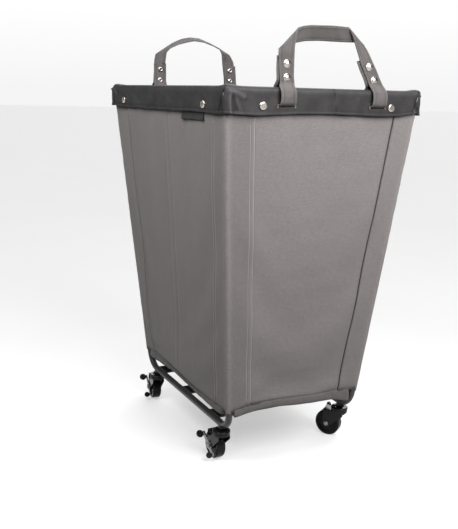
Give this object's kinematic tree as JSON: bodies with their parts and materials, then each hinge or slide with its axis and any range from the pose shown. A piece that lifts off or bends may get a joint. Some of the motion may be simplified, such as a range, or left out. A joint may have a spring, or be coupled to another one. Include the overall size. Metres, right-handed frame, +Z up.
{
  "type": "laundry sorter on wheels",
  "caption": "Tapered canvas laundry sorter on a bent-tube frame, with a vinyl rim band, webbing handles and swivel casters with side brake levers.",
  "frame": {"origin": "on the floor at the middle of the base", "axes": "+X along the long side, +Y along the short side, +Z up"},
  "size_m": [0.558, 0.406, 0.797],
  "materials": {
    "frame_paint": "satin charcoal powder coat",
    "slat_paint": "satin black paint",
    "connector_plastic": "moulded black nylon",
    "canvas": "plain-weave mid-grey canvas",
    "band_vinyl": "satin dark grey coated cloth",
    "label_cloth": "blank woven black label",
    "nickel": "polished nickel",
    "webbing": "grey cotton webbing, stitched edges",
    "zinc_steel": "bright zinc plate",
    "caster_paint": "gloss black",
    "wheel_plastic": "moulded black, semi-gloss",
    "pad_plastic": "moulded black"
  },
  "bodies": {
    "frame_and_bag": {"front_side_hoop": "frame_paint", "rear_side_hoop": "frame_paint", "front_top_rail": "frame_paint", "rear_top_rail": "frame_paint", "left_top_rail": "frame_paint", "right_top_rail": "frame_paint", "corner_connectors": "connector_plastic", "caster_sockets": "frame_paint", "base_slat_left": "slat_paint", "base_slat_middle": "slat_paint", "base_slat_right": "slat_paint", "front_wall": "canvas", "rear_wall": "canvas", "left_wall": "canvas", "right_wall": "canvas", "corner_wraps": "canvas", "leg_pockets": "canvas", "bottom_panel": "canvas", "bottom_hem": "canvas", "divider": "canvas", "rim_band": "band_vinyl", "band_snaps": "nickel", "blank_label": "label_cloth", "handle_anchor_left": "webbing", "handle_anchor_right": "webbing", "swivel_balls": "nickel", "front_right_stem": "zinc_steel", "front_right_race_cup": "caster_paint", "front_left_stem": "zinc_steel", "front_left_race_cup": "caster_paint", "rear_right_stem": "zinc_steel", "rear_right_race_cup": "caster_paint", "rear_left_stem": "zinc_steel", "rear_left_race_cup": "caster_paint"},
    "handle_left": {"handle_strap_left": "webbing", "handle_rivets_left": "nickel"},
    "handle_right": {"handle_strap_right": "webbing", "handle_rivets_right": "nickel"},
    "front_right_swivel": {"front_right_fork": "caster_paint", "front_right_axle": "zinc_steel"},
    "front_right_wheel": {"front_right_wheel": "wheel_plastic"},
    "front_right_brake": {"front_right_brake_lever": "zinc_steel", "front_right_brake_pads": "pad_plastic"},
    "front_left_swivel": {"front_left_fork": "caster_paint", "front_left_axle": "zinc_steel"},
    "front_left_wheel": {"front_left_wheel": "wheel_plastic"},
    "front_left_brake": {"front_left_brake_lever": "zinc_steel", "front_left_brake_pads": "pad_plastic"},
    "rear_right_swivel": {"rear_right_fork": "caster_paint", "rear_right_axle": "zinc_steel"},
    "rear_right_wheel": {"rear_right_wheel": "wheel_plastic"},
    "rear_right_brake": {"rear_right_brake_lever": "zinc_steel", "rear_right_brake_pads": "pad_plastic"},
    "rear_left_swivel": {"rear_left_fork": "caster_paint", "rear_left_axle": "zinc_steel"},
    "rear_left_wheel": {"rear_left_wheel": "wheel_plastic"},
    "rear_left_brake": {"rear_left_brake_lever": "zinc_steel", "rear_left_brake_pads": "pad_plastic"}
  },
  "joints": [
    {"name": "handle_left_tip", "type": "hinge", "parent": "frame_and_bag", "child": "handle_left", "pos_m": [-0.261, 0, 0.6935], "axis": [0, 1, 0], "range_deg": [-45, 45]},
    {"name": "handle_right_tip", "type": "hinge", "parent": "frame_and_bag", "child": "handle_right", "pos_m": [0.261, 0, 0.6935], "axis": [0, 1, 0], "range_deg": [-45, 45]},
    {"name": "front_right_swivel", "type": "hinge", "parent": "frame_and_bag", "child": "front_right_swivel", "pos_m": [0.1555, -0.1315, 0.05], "axis": [0, 0, 1], "continuous": true},
    {"name": "front_right_roll", "type": "hinge", "parent": "front_right_swivel", "child": "front_right_wheel", "pos_m": [0.13351, -0.13227, 0.025], "axis": [0.0349, -0.9994, 0], "continuous": true},
    {"name": "front_right_brake", "type": "hinge", "parent": "front_right_swivel", "child": "front_right_brake", "pos_m": [0.13351, -0.13227, 0.025], "axis": [-0.0349, 0.9994, 0], "range_deg": [0, 32]},
    {"name": "front_left_swivel", "type": "hinge", "parent": "frame_and_bag", "child": "front_left_swivel", "pos_m": [-0.1555, -0.1315, 0.05], "axis": [0, 0, 1], "continuous": true},
    {"name": "front_left_roll", "type": "hinge", "parent": "front_left_swivel", "child": "front_left_wheel", "pos_m": [-0.17729, -0.12844, 0.025], "axis": [-0.1392, -0.9903, 0], "continuous": true},
    {"name": "front_left_brake", "type": "hinge", "parent": "front_left_swivel", "child": "front_left_brake", "pos_m": [-0.17729, -0.12844, 0.025], "axis": [0.1392, 0.9903, 0], "range_deg": [0, 32]},
    {"name": "rear_right_swivel", "type": "hinge", "parent": "frame_and_bag", "child": "rear_right_swivel", "pos_m": [0.1555, 0.1315, 0.05], "axis": [0, 0, 1], "continuous": true},
    {"name": "rear_right_roll", "type": "hinge", "parent": "rear_right_swivel", "child": "rear_right_wheel", "pos_m": [0.13705, 0.11952, 0.025], "axis": [0.5446, -0.8387, 0], "continuous": true},
    {"name": "rear_right_brake", "type": "hinge", "parent": "rear_right_swivel", "child": "rear_right_brake", "pos_m": [0.13705, 0.11952, 0.025], "axis": [-0.5446, 0.8387, 0], "range_deg": [-32, 0]},
    {"name": "rear_left_swivel", "type": "hinge", "parent": "frame_and_bag", "child": "rear_left_swivel", "pos_m": [-0.1555, 0.1315, 0.05], "axis": [0, 0, 1], "continuous": true},
    {"name": "rear_left_roll", "type": "hinge", "parent": "rear_left_swivel", "child": "rear_left_wheel", "pos_m": [-0.17617, 0.12398, 0.025], "axis": [0.342, -0.9397, 0], "continuous": true},
    {"name": "rear_left_brake", "type": "hinge", "parent": "rear_left_swivel", "child": "rear_left_brake", "pos_m": [-0.17617, 0.12398, 0.025], "axis": [-0.342, 0.9397, 0], "range_deg": [0, 32]}
  ]
}
